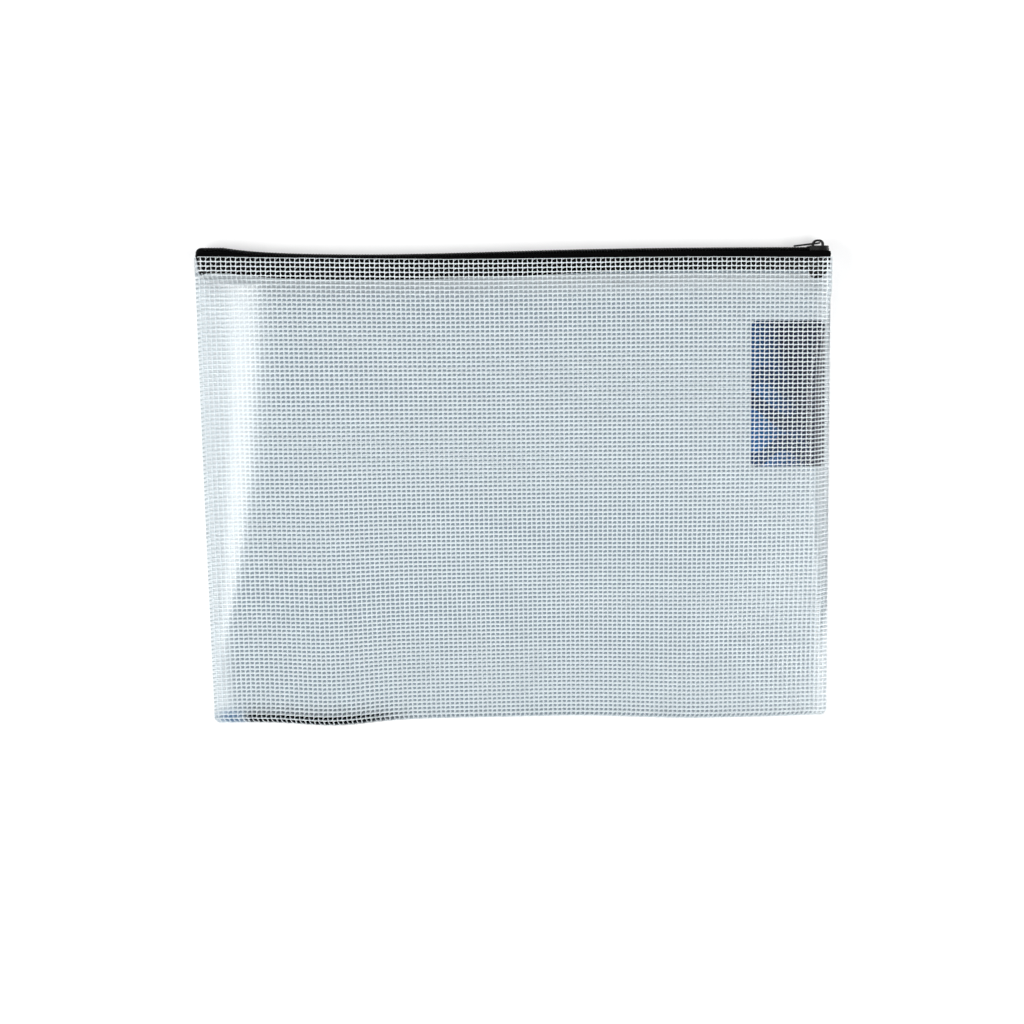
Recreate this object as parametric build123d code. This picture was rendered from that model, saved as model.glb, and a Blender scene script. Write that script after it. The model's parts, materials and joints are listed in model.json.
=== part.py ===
"""Zip-top document wallet: two mesh-reinforced sheets welded on three sides, with a nylon coil zip.

The wallet lies on its back sheet.  X runs along the zip, +Y points from the bottom weld to the zip,
+Z points up out of the front sheet.  The origin is the middle of the back sheet's underside.
All sizes are in millimetres.
"""

import os
from math import asin, atan, cos, degrees, hypot, sin

from build123d import *

# Sheets
SHEET_WIDTH = 340.0
SHEET_HEIGHT = 252.0
SHEET_THICKNESS = 0.45
SIDE_WELD = 3.0
BOTTOM_WELD = 4.0
CORNER_RADIUS = 3.0
SIDE_RISE_AT_ZIP = 2.0
SIDE_RISE_AT_BOTTOM = 24.0
BULGE_START = 48.0

# Zip tape
TAPE_THICKNESS = 0.6
TAPE_BEND_RADIUS = 1.3
TAPE_OVERLAP = 8.0
TAPE_EDGE_GAP = 1.8
TAPE_END_INSET = 3.2
CHAIN_STAND_OFF = 2.9

# Zip coils
COIL_PITCH = 1.5
COIL_WIDTH = 5.0
COIL_THICKNESS = 1.9
TOOTH_REACH = 0.55
TOOTH_ROOT = 1.0
TOOTH_NECK = 0.46
TOOTH_HEAD = 0.66
CORD_DIAMETER = 0.9

# Slider
SLIDER_LENGTH = 10.5
SLIDER_WIDTH = 8.4
SLIDER_TAIL_WIDTH = 7.0
SLIDER_TAIL_LENGTH = 5.0
SLIDER_CORNER = 1.6
TOP_WING = 0.6
WING_EDGE_RADIUS = 0.5
BOTTOM_WING = 0.9
POST_LENGTH = 3.2
POST_WIDTH = 1.3
POST_FROM_NOSE = 2.6

# Bridge and pull
BRIDGE_LENGTH = 6.4
BRIDGE_HEIGHT = 3.3
BRIDGE_BAR = 1.1
BRIDGE_WIDTH = 1.8
BRIDGE_CORNER = 2.7
PULL_LENGTH = 13.0
PULL_WIDTH = 5.2
PULL_TIP_WIDTH = 3.8
PULL_THICKNESS = 0.9
PULL_RIM = 1.0
PULL_CORNER = 1.0

# Stops, end tabs and insert card
STOP_LENGTH = 1.6
STOP_WIDTH = 1.5
STOP_HEIGHT = 1.5
STOP_CORNER = 0.4
END_STOP_LENGTH = 3.0
END_STOP_CORNER = 0.6
END_TAB_THICKNESS = 0.5
END_TAB_CORNER = 1.5
END_TAB_BELOW_COIL = 2.0
TAIL_WIDTH = 10.0
TAIL_DROP = 4.5
TAIL_CORNER = 4.2
CARD_WIDTH = 39.5
CARD_HEIGHT = 79.0
CARD_THICKNESS = 0.35
CARD_FROM_ZIP = 34.0
CARD_CORNER = 1.5
CARD_FROM_WELD = 1.0

# Clearances
RUNNING_GAP = 0.25
SEAT_GAP = 0.2
CORD_GAP = 0.02

# Worked-out places
HALF_WIDTH = SHEET_WIDTH / 2
HALF_HEIGHT = SHEET_HEIGHT / 2
ROOF_HALF = SLIDER_WIDTH / 2 + 2 * RUNNING_GAP + TAPE_THICKNESS / 2
ROOF_INNER = ROOF_HALF - TAPE_THICKNESS / 2
ROOF_OUTER = ROOF_HALF + TAPE_THICKNESS / 2
CHAIN_Z = SHEET_THICKNESS + ROOF_OUTER
CHAIN_Y = HALF_HEIGHT + CHAIN_STAND_OFF
COIL_TOP_Y = CHAIN_Y + COIL_THICKNESS
FRONT_RISE = 2 * ROOF_OUTER
TAPE_END_X = HALF_WIDTH - TAPE_END_INSET
TAPE_LOW_Y = HALF_HEIGHT - TAPE_OVERLAP
TAPE_EDGE_Y = CHAIN_Y - TAPE_THICKNESS / 2
TAPE_BEND_Y = TAPE_EDGE_Y - TAPE_BEND_RADIUS
TAPE_Z = CHAIN_Z + ROOF_HALF
WALL_TOP_X = HALF_WIDTH - SIDE_WELD - SIDE_RISE_AT_ZIP
WALL_FOOT_X = HALF_WIDTH - SIDE_WELD - SIDE_RISE_AT_BOTTOM
SLIDER_NOSE_X = TAPE_END_X - SEAT_GAP - RUNNING_GAP
SLIDER_TAIL_X = SLIDER_NOSE_X - SLIDER_LENGTH
SLIDER_MID_X = (SLIDER_NOSE_X + SLIDER_TAIL_X) / 2
POST_X = SLIDER_NOSE_X - POST_FROM_NOSE - POST_LENGTH / 2
TOP_WING_Y = COIL_TOP_Y + RUNNING_GAP
BOTTOM_WING_Y = CHAIN_Y - TAPE_THICKNESS - RUNNING_GAP
BRIDGE_FOOT_Y = TOP_WING_Y + TOP_WING
PULL_AXIS_X = SLIDER_MID_X
PULL_BAR_REACH = hypot(PULL_RIM / 2, PULL_THICKNESS / 2)
PULL_AXIS_Y = BRIDGE_FOOT_Y + BRIDGE_HEIGHT - BRIDGE_BAR - PULL_BAR_REACH - SEAT_GAP


def limited(radius, room):
    """A rounding radius, kept a little smaller than the room that its wall leaves."""
    return min(radius, room - CORD_GAP)


def wall_top_x(y):
    """Where the front sheet's right-hand wall meets its top, at a given height up the wallet."""
    share = (y + HALF_HEIGHT) / SHEET_HEIGHT
    return WALL_FOOT_X + (WALL_TOP_X - WALL_FOOT_X) * share


def sheet_profile(x_at_zip, x_at_bottom, rise):
    """Thin closed strip that follows the front sheet from the bottom weld up to the zip."""
    line_start = Vector(x_at_bottom, -HALF_HEIGHT, 0)
    line_end = Vector(x_at_zip, HALF_HEIGHT, 0)
    weld_end = BOTTOM_WELD
    bend_mid = weld_end + BULGE_START
    bend_end = SHEET_HEIGHT - TAPE_OVERLAP
    run = bend_end - weld_end
    turn = 2 * atan(rise / run)
    low_radius = (bend_mid - weld_end) / sin(turn)
    high_radius = (bend_end - bend_mid) / sin(turn)
    half_turn = turn / 2

    def place(distance, height):
        share = distance / SHEET_HEIGHT
        spot = line_start + (line_end - line_start) * share
        return Vector(spot.X, spot.Y, SHEET_THICKNESS + height)

    mid_height = low_radius * (1 - cos(turn))
    low_arc = (weld_end + low_radius * sin(half_turn), low_radius * (1 - cos(half_turn)))
    high_arc = (bend_end - high_radius * sin(half_turn), rise - high_radius * (1 - cos(half_turn)))

    def strip_edges(lift):
        start = place(0, lift)
        weld = place(weld_end, lift)
        middle = place(bend_mid, mid_height + lift)
        top = place(bend_end, rise + lift)
        end = place(SHEET_HEIGHT, rise + lift)
        low = ThreePointArc(weld, place(low_arc[0], low_arc[1] + lift), middle)
        high = ThreePointArc(middle, place(high_arc[0], high_arc[1] + lift), top)
        return [Line(start, weld), low, high, Line(top, end)], start, end

    under, under_start, under_end = strip_edges(0)
    upper, upper_start, upper_end = strip_edges(SHEET_THICKNESS)
    caps = [Line(under_start, upper_start), Line(under_end, upper_end)]
    return Face(Wire(under + upper + caps))


def weld_strip(x):
    """Flat closed strip of the front sheet in a side weld, with the profile's four stretches."""
    stops = [0, BOTTOM_WELD, BOTTOM_WELD + BULGE_START, SHEET_HEIGHT - TAPE_OVERLAP, SHEET_HEIGHT]

    def row(height):
        return [Vector(x, -HALF_HEIGHT + stop, height) for stop in stops]

    under = row(SHEET_THICKNESS)
    upper = row(2 * SHEET_THICKNESS)
    edges = [Line(a, b) for points in (under, upper) for a, b in zip(points, points[1:])]
    caps = [Line(under[0], upper[0]), Line(under[-1], upper[-1])]
    return Face(Wire(edges + caps))


def round_bottom_corners(sheet):
    """Rounds the two outer corners of a sheet beside the bottom weld."""
    outer = sheet.edges().filter_by(Axis.Z).sort_by(Axis.Y)[:2]
    return fillet(outer, CORNER_RADIUS)


def back_sheet():
    """Flat rear sheet that the wallet lies on."""
    plate = Box(SHEET_WIDTH, SHEET_HEIGHT, SHEET_THICKNESS, align=(Align.CENTER, Align.CENTER, Align.MIN))
    return round_bottom_corners(plate)


def front_sheet():
    """Front sheet: flat side welds, short side walls and one long curve up to the zip."""
    sections = [
        weld_strip(-HALF_WIDTH),
        weld_strip(-HALF_WIDTH + SIDE_WELD),
        sheet_profile(-WALL_TOP_X, -WALL_FOOT_X, FRONT_RISE),
        sheet_profile(WALL_TOP_X, WALL_FOOT_X, FRONT_RISE),
        weld_strip(HALF_WIDTH - SIDE_WELD),
        weld_strip(HALF_WIDTH),
    ]
    return round_bottom_corners(loft(sections, ruled=True))


def front_or_back(shape, side):
    """A shape drawn for the front half of the zip, or its mirror image for the back half."""
    if side == "front":
        return shape
    return mirror(shape, about=Plane.XY.offset(CHAIN_Z))


def zip_tape(side):
    """Flat part of a woven tape, from the bend down behind its sheet, cut back beside the side walls."""
    middle = Pos(0, (TAPE_BEND_Y + TAPE_LOW_Y) / 2, TAPE_Z)
    tape = middle * Box(2 * TAPE_END_X, TAPE_BEND_Y - TAPE_LOW_Y, TAPE_THICKNESS)
    notch_width = HALF_WIDTH - wall_top_x(TAPE_LOW_Y) + SEAT_GAP
    notch_depth = TAPE_OVERLAP + 2 * SEAT_GAP
    notch = Box(notch_width, notch_depth, 2 * TAPE_THICKNESS)
    notch_y = HALF_HEIGHT + SEAT_GAP - notch_depth / 2
    for end in (-1, 1):
        tape -= Pos(end * (HALF_WIDTH - notch_width / 2), notch_y, TAPE_Z) * notch
    return front_or_back(tape, side)


def tape_edge(side):
    """Upper part of a woven tape: the strip under its coil and the bend over to its sheet."""
    inner = (0, TAPE_EDGE_Y, CHAIN_Z + TAPE_EDGE_GAP / 2)
    strip = Line(inner, (0, TAPE_EDGE_Y, TAPE_Z - TAPE_BEND_RADIUS))
    bend = TangentArc(strip @ 1, (0, TAPE_BEND_Y, TAPE_Z), tangent=strip % 1)
    start = Plane(origin=inner, x_dir=(1, 0, 0), z_dir=(0, 0, 1))
    edge = sweep(start * Rectangle(2 * TAPE_END_X, TAPE_THICKNESS), path=strip + bend)
    return front_or_back(edge, side)


def coil_row(side):
    """One row of coil teeth: a sewn-down spine with a dovetail head at every pitch."""
    chain_end = POST_X - POST_LENGTH / 2 - RUNNING_GAP
    chain_start = -TAPE_END_X + END_STOP_LENGTH
    count = int((chain_end - chain_start) / COIL_PITCH)
    half_pitch = COIL_PITCH / 2
    first_tooth = chain_start + half_pitch / 2
    if side == "back":
        first_tooth += half_pitch
    outline = [(chain_start, COIL_WIDTH / 2), (chain_start, TOOTH_ROOT)]
    for index in range(count):
        middle = first_tooth + index * COIL_PITCH
        outline.append((middle - TOOTH_NECK / 2, TOOTH_ROOT))
        outline.append((middle - TOOTH_HEAD / 2, -TOOTH_REACH))
        outline.append((middle + TOOTH_HEAD / 2, -TOOTH_REACH))
        outline.append((middle + TOOTH_NECK / 2, TOOTH_ROOT))
    outline += [(chain_end, TOOTH_ROOT), (chain_end, COIL_WIDTH / 2)]
    flat = Plane(origin=(0, CHAIN_Y, CHAIN_Z), x_dir=(1, 0, 0), z_dir=(0, -1, 0))
    face = flat * make_face(Polyline(*outline, close=True))
    row = extrude(face, amount=COIL_THICKNESS, dir=(0, 1, 0))
    row -= core_cylinder(CORD_DIAMETER + 2 * CORD_GAP)
    return front_or_back(row, side)


def core_cylinder(diameter):
    """Straight round bar through the front coil's spine, as long as the tape."""
    height = (TOOTH_ROOT + COIL_WIDTH / 2) / 2
    spot = Pos(0, CHAIN_Y + COIL_THICKNESS / 2, CHAIN_Z + height)
    return spot * Rot(0, 90, 0) * Cylinder(diameter / 2, 2 * TAPE_END_X)


def core_cord(side):
    """Filler cord that the coil is wound round, cut off at the coil's two ends."""
    chain_end = POST_X - POST_LENGTH / 2 - RUNNING_GAP
    chain_start = -TAPE_END_X + END_STOP_LENGTH
    length = chain_end - chain_start
    height = (TOOTH_ROOT + COIL_WIDTH / 2) / 2
    spot = Pos((chain_start + chain_end) / 2, CHAIN_Y + COIL_THICKNESS / 2, CHAIN_Z + height)
    return front_or_back(spot * Rot(0, 90, 0) * Cylinder(CORD_DIAMETER / 2, length), side)


def wing_outline():
    """Shield-shaped plan of a slider wing, wide at the nose and narrow at the tail."""
    nose = SLIDER_WIDTH / 2
    tail = SLIDER_TAIL_WIDTH / 2
    shoulder = SLIDER_TAIL_X + SLIDER_TAIL_LENGTH
    points = [
        (SLIDER_TAIL_X, -tail),
        (shoulder, -tail),
        (SLIDER_NOSE_X - SLIDER_CORNER, -nose),
        (SLIDER_NOSE_X, -nose + SLIDER_CORNER),
    ]
    return points + [(x, -z) for x, z in reversed(points)]


def chain_plane(y):
    """Plane across the zip at height y, with X along the zip and its second axis along Z."""
    return Plane(origin=(0, y, CHAIN_Z), x_dir=(1, 0, 0), z_dir=(0, -1, 0))


def slider_body():
    """Die-cast slider: two wings, side flanges round the chain and the post between the rows."""
    outline = wing_outline()
    top_face = chain_plane(TOP_WING_Y) * make_face(Polyline(*outline, close=True))
    bottom_face = chain_plane(BOTTOM_WING_Y - BOTTOM_WING) * make_face(Polyline(*outline, close=True))
    top = extrude(top_face, amount=TOP_WING, dir=(0, 1, 0))
    bottom = extrude(bottom_face, amount=BOTTOM_WING, dir=(0, 1, 0))
    top = fillet(top.faces().sort_by(Axis.Y)[-1].edges(), limited(WING_EDGE_RADIUS, TOP_WING))
    flange_low = CHAIN_Y + RUNNING_GAP
    flange_face = chain_plane(flange_low) * make_face(Polyline(*outline, close=True))
    flanges = extrude(flange_face, amount=TOP_WING_Y - flange_low, dir=(0, 1, 0))
    channel = COIL_WIDTH + 2 * RUNNING_GAP
    middle_y = (flange_low + TOP_WING_Y) / 2
    flanges -= Pos(SLIDER_MID_X, middle_y, CHAIN_Z) * Box(2 * SLIDER_LENGTH, 2 * COIL_THICKNESS, channel)
    half = POST_LENGTH / 2
    diamond = [(POST_X - half, 0), (POST_X, POST_WIDTH / 2), (POST_X + half, 0), (POST_X, -POST_WIDTH / 2)]
    post_face = chain_plane(BOTTOM_WING_Y - BOTTOM_WING / 2) * make_face(Polyline(*diamond, close=True))
    post = extrude(post_face, amount=TOP_WING_Y - BOTTOM_WING_Y + BOTTOM_WING, dir=(0, 1, 0))
    return top + bottom + flanges + post


def slider_bridge():
    """Arched bridge on the slider's top wing that the pull hangs from."""
    half = BRIDGE_LENGTH / 2
    corner = limited(BRIDGE_CORNER, min(half, BRIDGE_HEIGHT))
    outer = arch_face(half, BRIDGE_HEIGHT, corner)
    inner = arch_face(half - BRIDGE_BAR, BRIDGE_HEIGHT - BRIDGE_BAR, corner - BRIDGE_BAR)
    side = Plane(origin=(SLIDER_MID_X, BRIDGE_FOOT_Y, CHAIN_Z - BRIDGE_WIDTH / 2))
    return extrude(side * (outer - inner), amount=BRIDGE_WIDTH)


def arch_face(half, height, corner):
    """Flat-footed arch, drawn with two corner arcs and a flat crown."""
    outline = Polyline((-half, 0), (-half, height), (half, height), (half, 0), close=True)
    return fillet(make_face(outline).vertices().group_by(Axis.Y)[-1], corner)


def pull_lean():
    """How far the pull leans back, in degrees, before its tip meets the chain or its belly the wing."""
    to_chain = PULL_AXIS_Y - COIL_TOP_Y - PULL_THICKNESS / 2 - RUNNING_GAP
    to_wing = PULL_AXIS_Y - BRIDGE_FOOT_Y - PULL_THICKNESS / 2 - SEAT_GAP
    return degrees(min(asin(to_chain / PULL_LENGTH), atan(to_wing / (PULL_AXIS_X - SLIDER_TAIL_X))))


def pull_tab():
    """Tapered pull whose end bar turns inside the bridge, with an eye long enough to swing round it."""
    bar_half = PULL_RIM / 2
    bridge_reach = hypot(BRIDGE_LENGTH / 2, PULL_THICKNESS / 2)
    eye_end = bridge_reach + RUNNING_GAP
    eye_width = BRIDGE_WIDTH + 2 * RUNNING_GAP
    half = PULL_WIDTH / 2
    tip_half = PULL_TIP_WIDTH / 2
    shoulder = eye_end + PULL_RIM
    outline = [
        (bar_half, -half),
        (-shoulder, -half),
        (-PULL_LENGTH, -tip_half),
        (-PULL_LENGTH, tip_half),
        (-shoulder, half),
        (bar_half, half),
    ]
    plate = make_face(Polyline(*outline, close=True))
    plate = fillet(plate.vertices().sort_by(Axis.X)[:2], limited(PULL_CORNER, PULL_TIP_WIDTH / 2))
    eye = Pos(-(bar_half + eye_end) / 2, 0) * Rectangle(eye_end - bar_half, eye_width)
    flat = Plane(origin=(0, 0, 0), x_dir=(1, 0, 0), z_dir=(0, -1, 0))
    tab = extrude(flat * (plate - eye), amount=PULL_THICKNESS / 2, both=True)
    return Pos(PULL_AXIS_X, PULL_AXIS_Y, CHAIN_Z) * Rot(0, 0, pull_lean()) * tab


def closed_end_stops():
    """Two small stops crimped on the tapes, one beside each row, which the slider's mouth takes in."""
    spot_x = TAPE_END_X - STOP_LENGTH / 2 - SEAT_GAP
    offset = TAPE_EDGE_GAP / 2 + STOP_WIDTH / 2
    corner = limited(STOP_CORNER, min(STOP_LENGTH, STOP_HEIGHT) / 2)
    stop = fillet(Box(STOP_LENGTH, STOP_HEIGHT, STOP_WIDTH).edges().filter_by(Axis.Z), corner)
    stops = [Pos(spot_x, CHAIN_Y + STOP_HEIGHT / 2, CHAIN_Z + side * offset) * stop for side in (-1, 1)]
    return Compound(children=stops)


def open_end_stop():
    """Single stop clamped across both coils at the end where the zip starts to open."""
    spot_x = -TAPE_END_X + END_STOP_LENGTH / 2
    length = END_STOP_LENGTH - SEAT_GAP
    stop = Box(length, COIL_THICKNESS, COIL_WIDTH)
    stop = fillet(stop.edges().filter_by(Axis.Y), limited(END_STOP_CORNER, min(length, COIL_WIDTH) / 2))
    return Pos(spot_x - SEAT_GAP / 2, CHAIN_Y + COIL_THICKNESS / 2, CHAIN_Z) * stop


def end_tab(end):
    """Fabric tab that closes one end of the zip between the two sheets."""
    low = HALF_HEIGHT + SEAT_GAP
    high = COIL_TOP_Y - END_TAB_BELOW_COIL
    face = Rectangle(high - low, 2 * ROOF_OUTER)
    across = Plane(origin=(end * TAPE_END_X, (low + high) / 2, CHAIN_Z), x_dir=(0, 1, 0), z_dir=(end, 0, 0))
    tab = extrude(across * face, amount=END_TAB_THICKNESS)
    return fillet(tab.edges().filter_by(Axis.X).group_by(Axis.Y)[-1], END_TAB_CORNER)


def tape_tail():
    """End of the zip tape folded down inside, flat against the front tape, with a round lower edge."""
    top = HALF_HEIGHT - SEAT_GAP
    length = TAPE_OVERLAP + TAIL_DROP - SEAT_GAP
    middle_x = wall_top_x(top - length) - 2 * SEAT_GAP - TAIL_WIDTH / 2
    outline = make_face(
        Polyline(
            (middle_x - TAIL_WIDTH / 2, top),
            (middle_x + TAIL_WIDTH / 2, top),
            (middle_x + TAIL_WIDTH / 2, top - length),
            (middle_x - TAIL_WIDTH / 2, top - length),
            close=True,
        )
    )
    outline = fillet(outline.vertices().group_by(Axis.Y)[0], limited(TAIL_CORNER, TAIL_WIDTH / 2))
    height = CHAIN_Z + ROOF_INNER - TAPE_THICKNESS
    return extrude(Pos(0, 0, height) * outline, amount=TAPE_THICKNESS)


def insert_card():
    """Printed card that lies loose on the back sheet beside the right-hand weld."""
    right = HALF_WIDTH - SIDE_WELD - CARD_FROM_WELD
    top = HALF_HEIGHT - CARD_FROM_ZIP
    middle = Pos(right - CARD_WIDTH / 2, top - CARD_HEIGHT / 2, SHEET_THICKNESS)
    card = Box(CARD_WIDTH, CARD_HEIGHT, CARD_THICKNESS, align=(Align.CENTER, Align.CENTER, Align.MIN))
    return middle * fillet(card.edges().filter_by(Axis.Z), CARD_CORNER)


def main():
    """Builds every piece and writes one STEP file for each."""
    pieces = {
        "back_sheet": back_sheet(),
        "front_sheet": front_sheet(),
        "front_zip_tape": zip_tape("front"),
        "back_zip_tape": zip_tape("back"),
        "front_tape_edge": tape_edge("front"),
        "back_tape_edge": tape_edge("back"),
        "front_coil": coil_row("front"),
        "back_coil": coil_row("back"),
        "front_core_cord": core_cord("front"),
        "back_core_cord": core_cord("back"),
        "slider_body": slider_body(),
        "slider_bridge": slider_bridge(),
        "pull_tab": pull_tab(),
        "closed_end_stops": closed_end_stops(),
        "open_end_stop": open_end_stop(),
        "left_end_tab": end_tab(-1),
        "right_end_tab": end_tab(1),
        "tape_tail": tape_tail(),
        "insert_card": insert_card(),
    }
    travel = SLIDER_TAIL_X - RUNNING_GAP + TAPE_END_X - END_STOP_LENGTH
    print(f"pull axis {PULL_AXIS_X:.3f}, {PULL_AXIS_Y:.3f}, {CHAIN_Z:.3f}; lean {pull_lean():.2f} degrees")
    print(f"slider travel {travel:.2f}")
    os.makedirs("parts", exist_ok=True)
    for name, piece in pieces.items():
        export_step(piece, f"parts/{name}.step")
        box = piece.bounding_box()
        print(f"{name}: {piece.volume:.1f} mm3, {box.min} to {box.max}")


main()
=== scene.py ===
"""Looks of a zip-top mesh document wallet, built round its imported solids."""

import json
import math

import bpy
import numpy as np
from bpy.props import FloatProperty, FloatVectorProperty, PointerProperty
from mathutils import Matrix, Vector


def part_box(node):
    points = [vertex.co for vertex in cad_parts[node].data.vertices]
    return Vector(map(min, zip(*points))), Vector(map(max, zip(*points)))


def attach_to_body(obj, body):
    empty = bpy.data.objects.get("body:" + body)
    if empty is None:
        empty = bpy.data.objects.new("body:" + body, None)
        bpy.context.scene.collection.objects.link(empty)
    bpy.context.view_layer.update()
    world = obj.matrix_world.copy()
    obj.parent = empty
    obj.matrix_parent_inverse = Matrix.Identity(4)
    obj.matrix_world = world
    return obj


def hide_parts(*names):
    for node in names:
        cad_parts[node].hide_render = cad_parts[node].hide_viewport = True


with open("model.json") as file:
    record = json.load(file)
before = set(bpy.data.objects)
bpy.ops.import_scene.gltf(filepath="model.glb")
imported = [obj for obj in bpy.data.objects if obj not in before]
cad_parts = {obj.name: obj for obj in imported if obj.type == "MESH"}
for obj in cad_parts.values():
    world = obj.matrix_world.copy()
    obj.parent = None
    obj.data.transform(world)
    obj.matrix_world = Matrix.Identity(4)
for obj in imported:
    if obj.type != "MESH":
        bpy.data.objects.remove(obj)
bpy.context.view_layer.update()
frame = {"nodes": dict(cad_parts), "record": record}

bl_info = {
    "name": "Mesh Document Wallet",
    "version": (1, 0, 0),
    "blender": (4, 5, 0),
    "location": "View3D > Sidebar > Wallet",
    "description": "Builds the films, yarns, zip and card of a mesh document wallet round its solids",
    "category": "Object",
}

MM = 0.001

# Places read from the solids
SHEET_HIGH = Vector(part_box("front_sheet")[1])
TAPE_LOW, TAPE_HIGH = (Vector(corner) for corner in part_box("front_zip_tape"))
EDGE_LOW, EDGE_HIGH = (Vector(corner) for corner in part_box("front_tape_edge"))
COIL_LOW, COIL_HIGH = (Vector(corner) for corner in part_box("front_coil"))
CORD_LOW, CORD_HIGH = (Vector(corner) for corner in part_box("front_core_cord"))
SLIDER_LOW, SLIDER_HIGH = (Vector(corner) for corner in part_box("slider_body"))
CARD_LOW, CARD_HIGH = (Vector(corner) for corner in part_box("insert_card"))
TAIL_LOW, TAIL_HIGH = (Vector(corner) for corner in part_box("tape_tail"))
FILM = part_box("back_sheet")[1][2]
HALF_W = SHEET_HIGH.x
HALF_H = SHEET_HIGH.y
RISE = SHEET_HIGH.z - 2 * FILM
OVERLAP = HALF_H - TAPE_LOW.y
TAIL_ROOM = TAPE_LOW.y - TAIL_LOW.y + 2 * MM
CHAIN_Z = (SLIDER_LOW.z + SLIDER_HIGH.z) / 2
TRAVEL = frame["record"]["behaviour"]["joints"][0]["range_m"][1]
PARKED_END = SLIDER_HIGH.x - TRAVEL
ZIP_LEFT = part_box("left_end_tab")[0][0]


class SheetSettings(bpy.types.PropertyGroup):
    """Film and yarn sizes and colours."""

    left_weld: FloatProperty(name="Left weld", description="Flat welded margin at the left",
                             default=3 * MM, unit="LENGTH")
    right_weld: FloatProperty(name="Right weld", description="Flat welded margin at the right",
                              default=1.5 * MM, unit="LENGTH")
    weld_press: FloatProperty(name="Weld press", description="How much wider the right weld presses yarns",
                              default=2.0, min=0)
    weld_at_zip: FloatProperty(name="Weld at zip", description="Flat welded margin beside the zip",
                               default=1 * MM, unit="LENGTH")
    bottom_weld: FloatProperty(name="Bottom weld", description="Flat welded margin along the bottom",
                               default=4 * MM, unit="LENGTH")
    wall_at_zip: FloatProperty(name="Wall at zip", description="Width of the side wall beside the zip",
                               default=1.5 * MM, unit="LENGTH")
    left_slope: FloatProperty(name="Left slope", description="Mean slope of the left wall below the zip",
                              default=math.radians(13), subtype="ANGLE")
    right_slope: FloatProperty(name="Right slope", description="Mean slope of the right wall below the zip",
                               default=math.radians(38), subtype="ANGLE")
    wall_least: FloatProperty(name="Least wall", description="Least width of a side wall below the zip",
                              default=4 * MM, unit="LENGTH")
    lean: FloatProperty(name="Lean", description="How far the bottom edge lies to the right of the zip",
                        default=3.6 * MM, unit="LENGTH")
    bulge_start: FloatProperty(name="Bulge start", description="Length of the bend above the bottom weld",
                               default=48 * MM, unit="LENGTH")
    ripple: FloatProperty(name="Ripple", description="Height of the film's slow waves",
                          default=0.3 * MM, unit="LENGTH")
    corner: FloatProperty(name="Corner", description="Radius of the two bottom corners",
                          default=3 * MM, unit="LENGTH")
    film_step: FloatProperty(name="Film step", description="Size of one square of the film's mesh",
                             default=2 * MM, unit="LENGTH")
    warp_pitch: FloatProperty(name="Warp pitch", description="Distance between upright yarns",
                              default=2.58 * MM, unit="LENGTH")
    weft_pitch: FloatProperty(name="Weft pitch", description="Distance between cross yarns",
                              default=2.30 * MM, unit="LENGTH")
    warp_width: FloatProperty(name="Warp width", description="Width of a flattened upright yarn",
                              default=0.33 * MM, unit="LENGTH")
    weft_width: FloatProperty(name="Weft width", description="Width of a flattened cross yarn",
                              default=0.51 * MM, unit="LENGTH")
    binder_width: FloatProperty(name="Binder width", description="Width of the slanting binder yarn",
                                default=0.21 * MM, unit="LENGTH")
    back_spread: FloatProperty(name="Back spread", description="How many times wider the back yarns are",
                               default=1.35, min=0.5)
    yarn_height: FloatProperty(name="Yarn height", description="Height of a yarn's crest",
                               default=0.085 * MM, unit="LENGTH")
    lined_up: FloatVectorProperty(name="Lined up", description="Place from which the two grids line up",
                                  default=(-0.0492, 0.0895, 0.7660), subtype="XYZ")
    warp_margin: FloatProperty(name="Warp margin", description="Side margin that has no upright yarns",
                               default=0.8 * MM, unit="LENGTH")
    front_tint: FloatVectorProperty(name="Front tint", description="Colour of light through the front film",
                                    subtype="COLOR", default=(0.985, 0.99, 0.995))
    # Painted shade: the back film's tint is far darker than clear film, standing in for the shade inside the
    # wallet.
    back_shade_tint: FloatVectorProperty(name="Back tint", description="Colour of light through the back film",
                                   subtype="COLOR", default=(0.50, 0.585, 0.64))
    # Painted shade: dark tint of the rows along the bottom edge.
    bottom_shade_tint: FloatVectorProperty(name="Weld tint", description="Colour of light through the bottom weld",
                                   subtype="COLOR", default=(0.12, 0.14, 0.155))
    # Painted light: pale tint that lifts the painted shade up the left wall, along the right weld and below
    # the tape.
    painted_light_tint: FloatVectorProperty(name="Edge tint", description="Colour of light through the side welds",
                                   subtype="COLOR", default=(0.96, 0.98, 0.99))
    # Painted shade: blue-grey tint of a crumple in the bottom left corner.
    crumple_shade_tint: FloatVectorProperty(name="Crumple tint", description="Colour of light through the crumple",
                                      subtype="COLOR", default=(0.42, 0.56, 0.70))
    yarn_color: FloatVectorProperty(name="Yarn", description="Colour of the yarns",
                                    subtype="COLOR", default=(0.91, 0.97, 1.0))
    yarn_through: FloatProperty(name="Yarn through", description="Share of light that passes through a yarn",
                                default=0.05, min=0, max=1)
    film_index: FloatProperty(name="Film index", description="Refractive index of the film",
                              default=1.56, min=1)
    film_roughness: FloatProperty(name="Film roughness", description="Roughness of the film's gloss",
                                  default=0.24, min=0, max=1)


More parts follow.
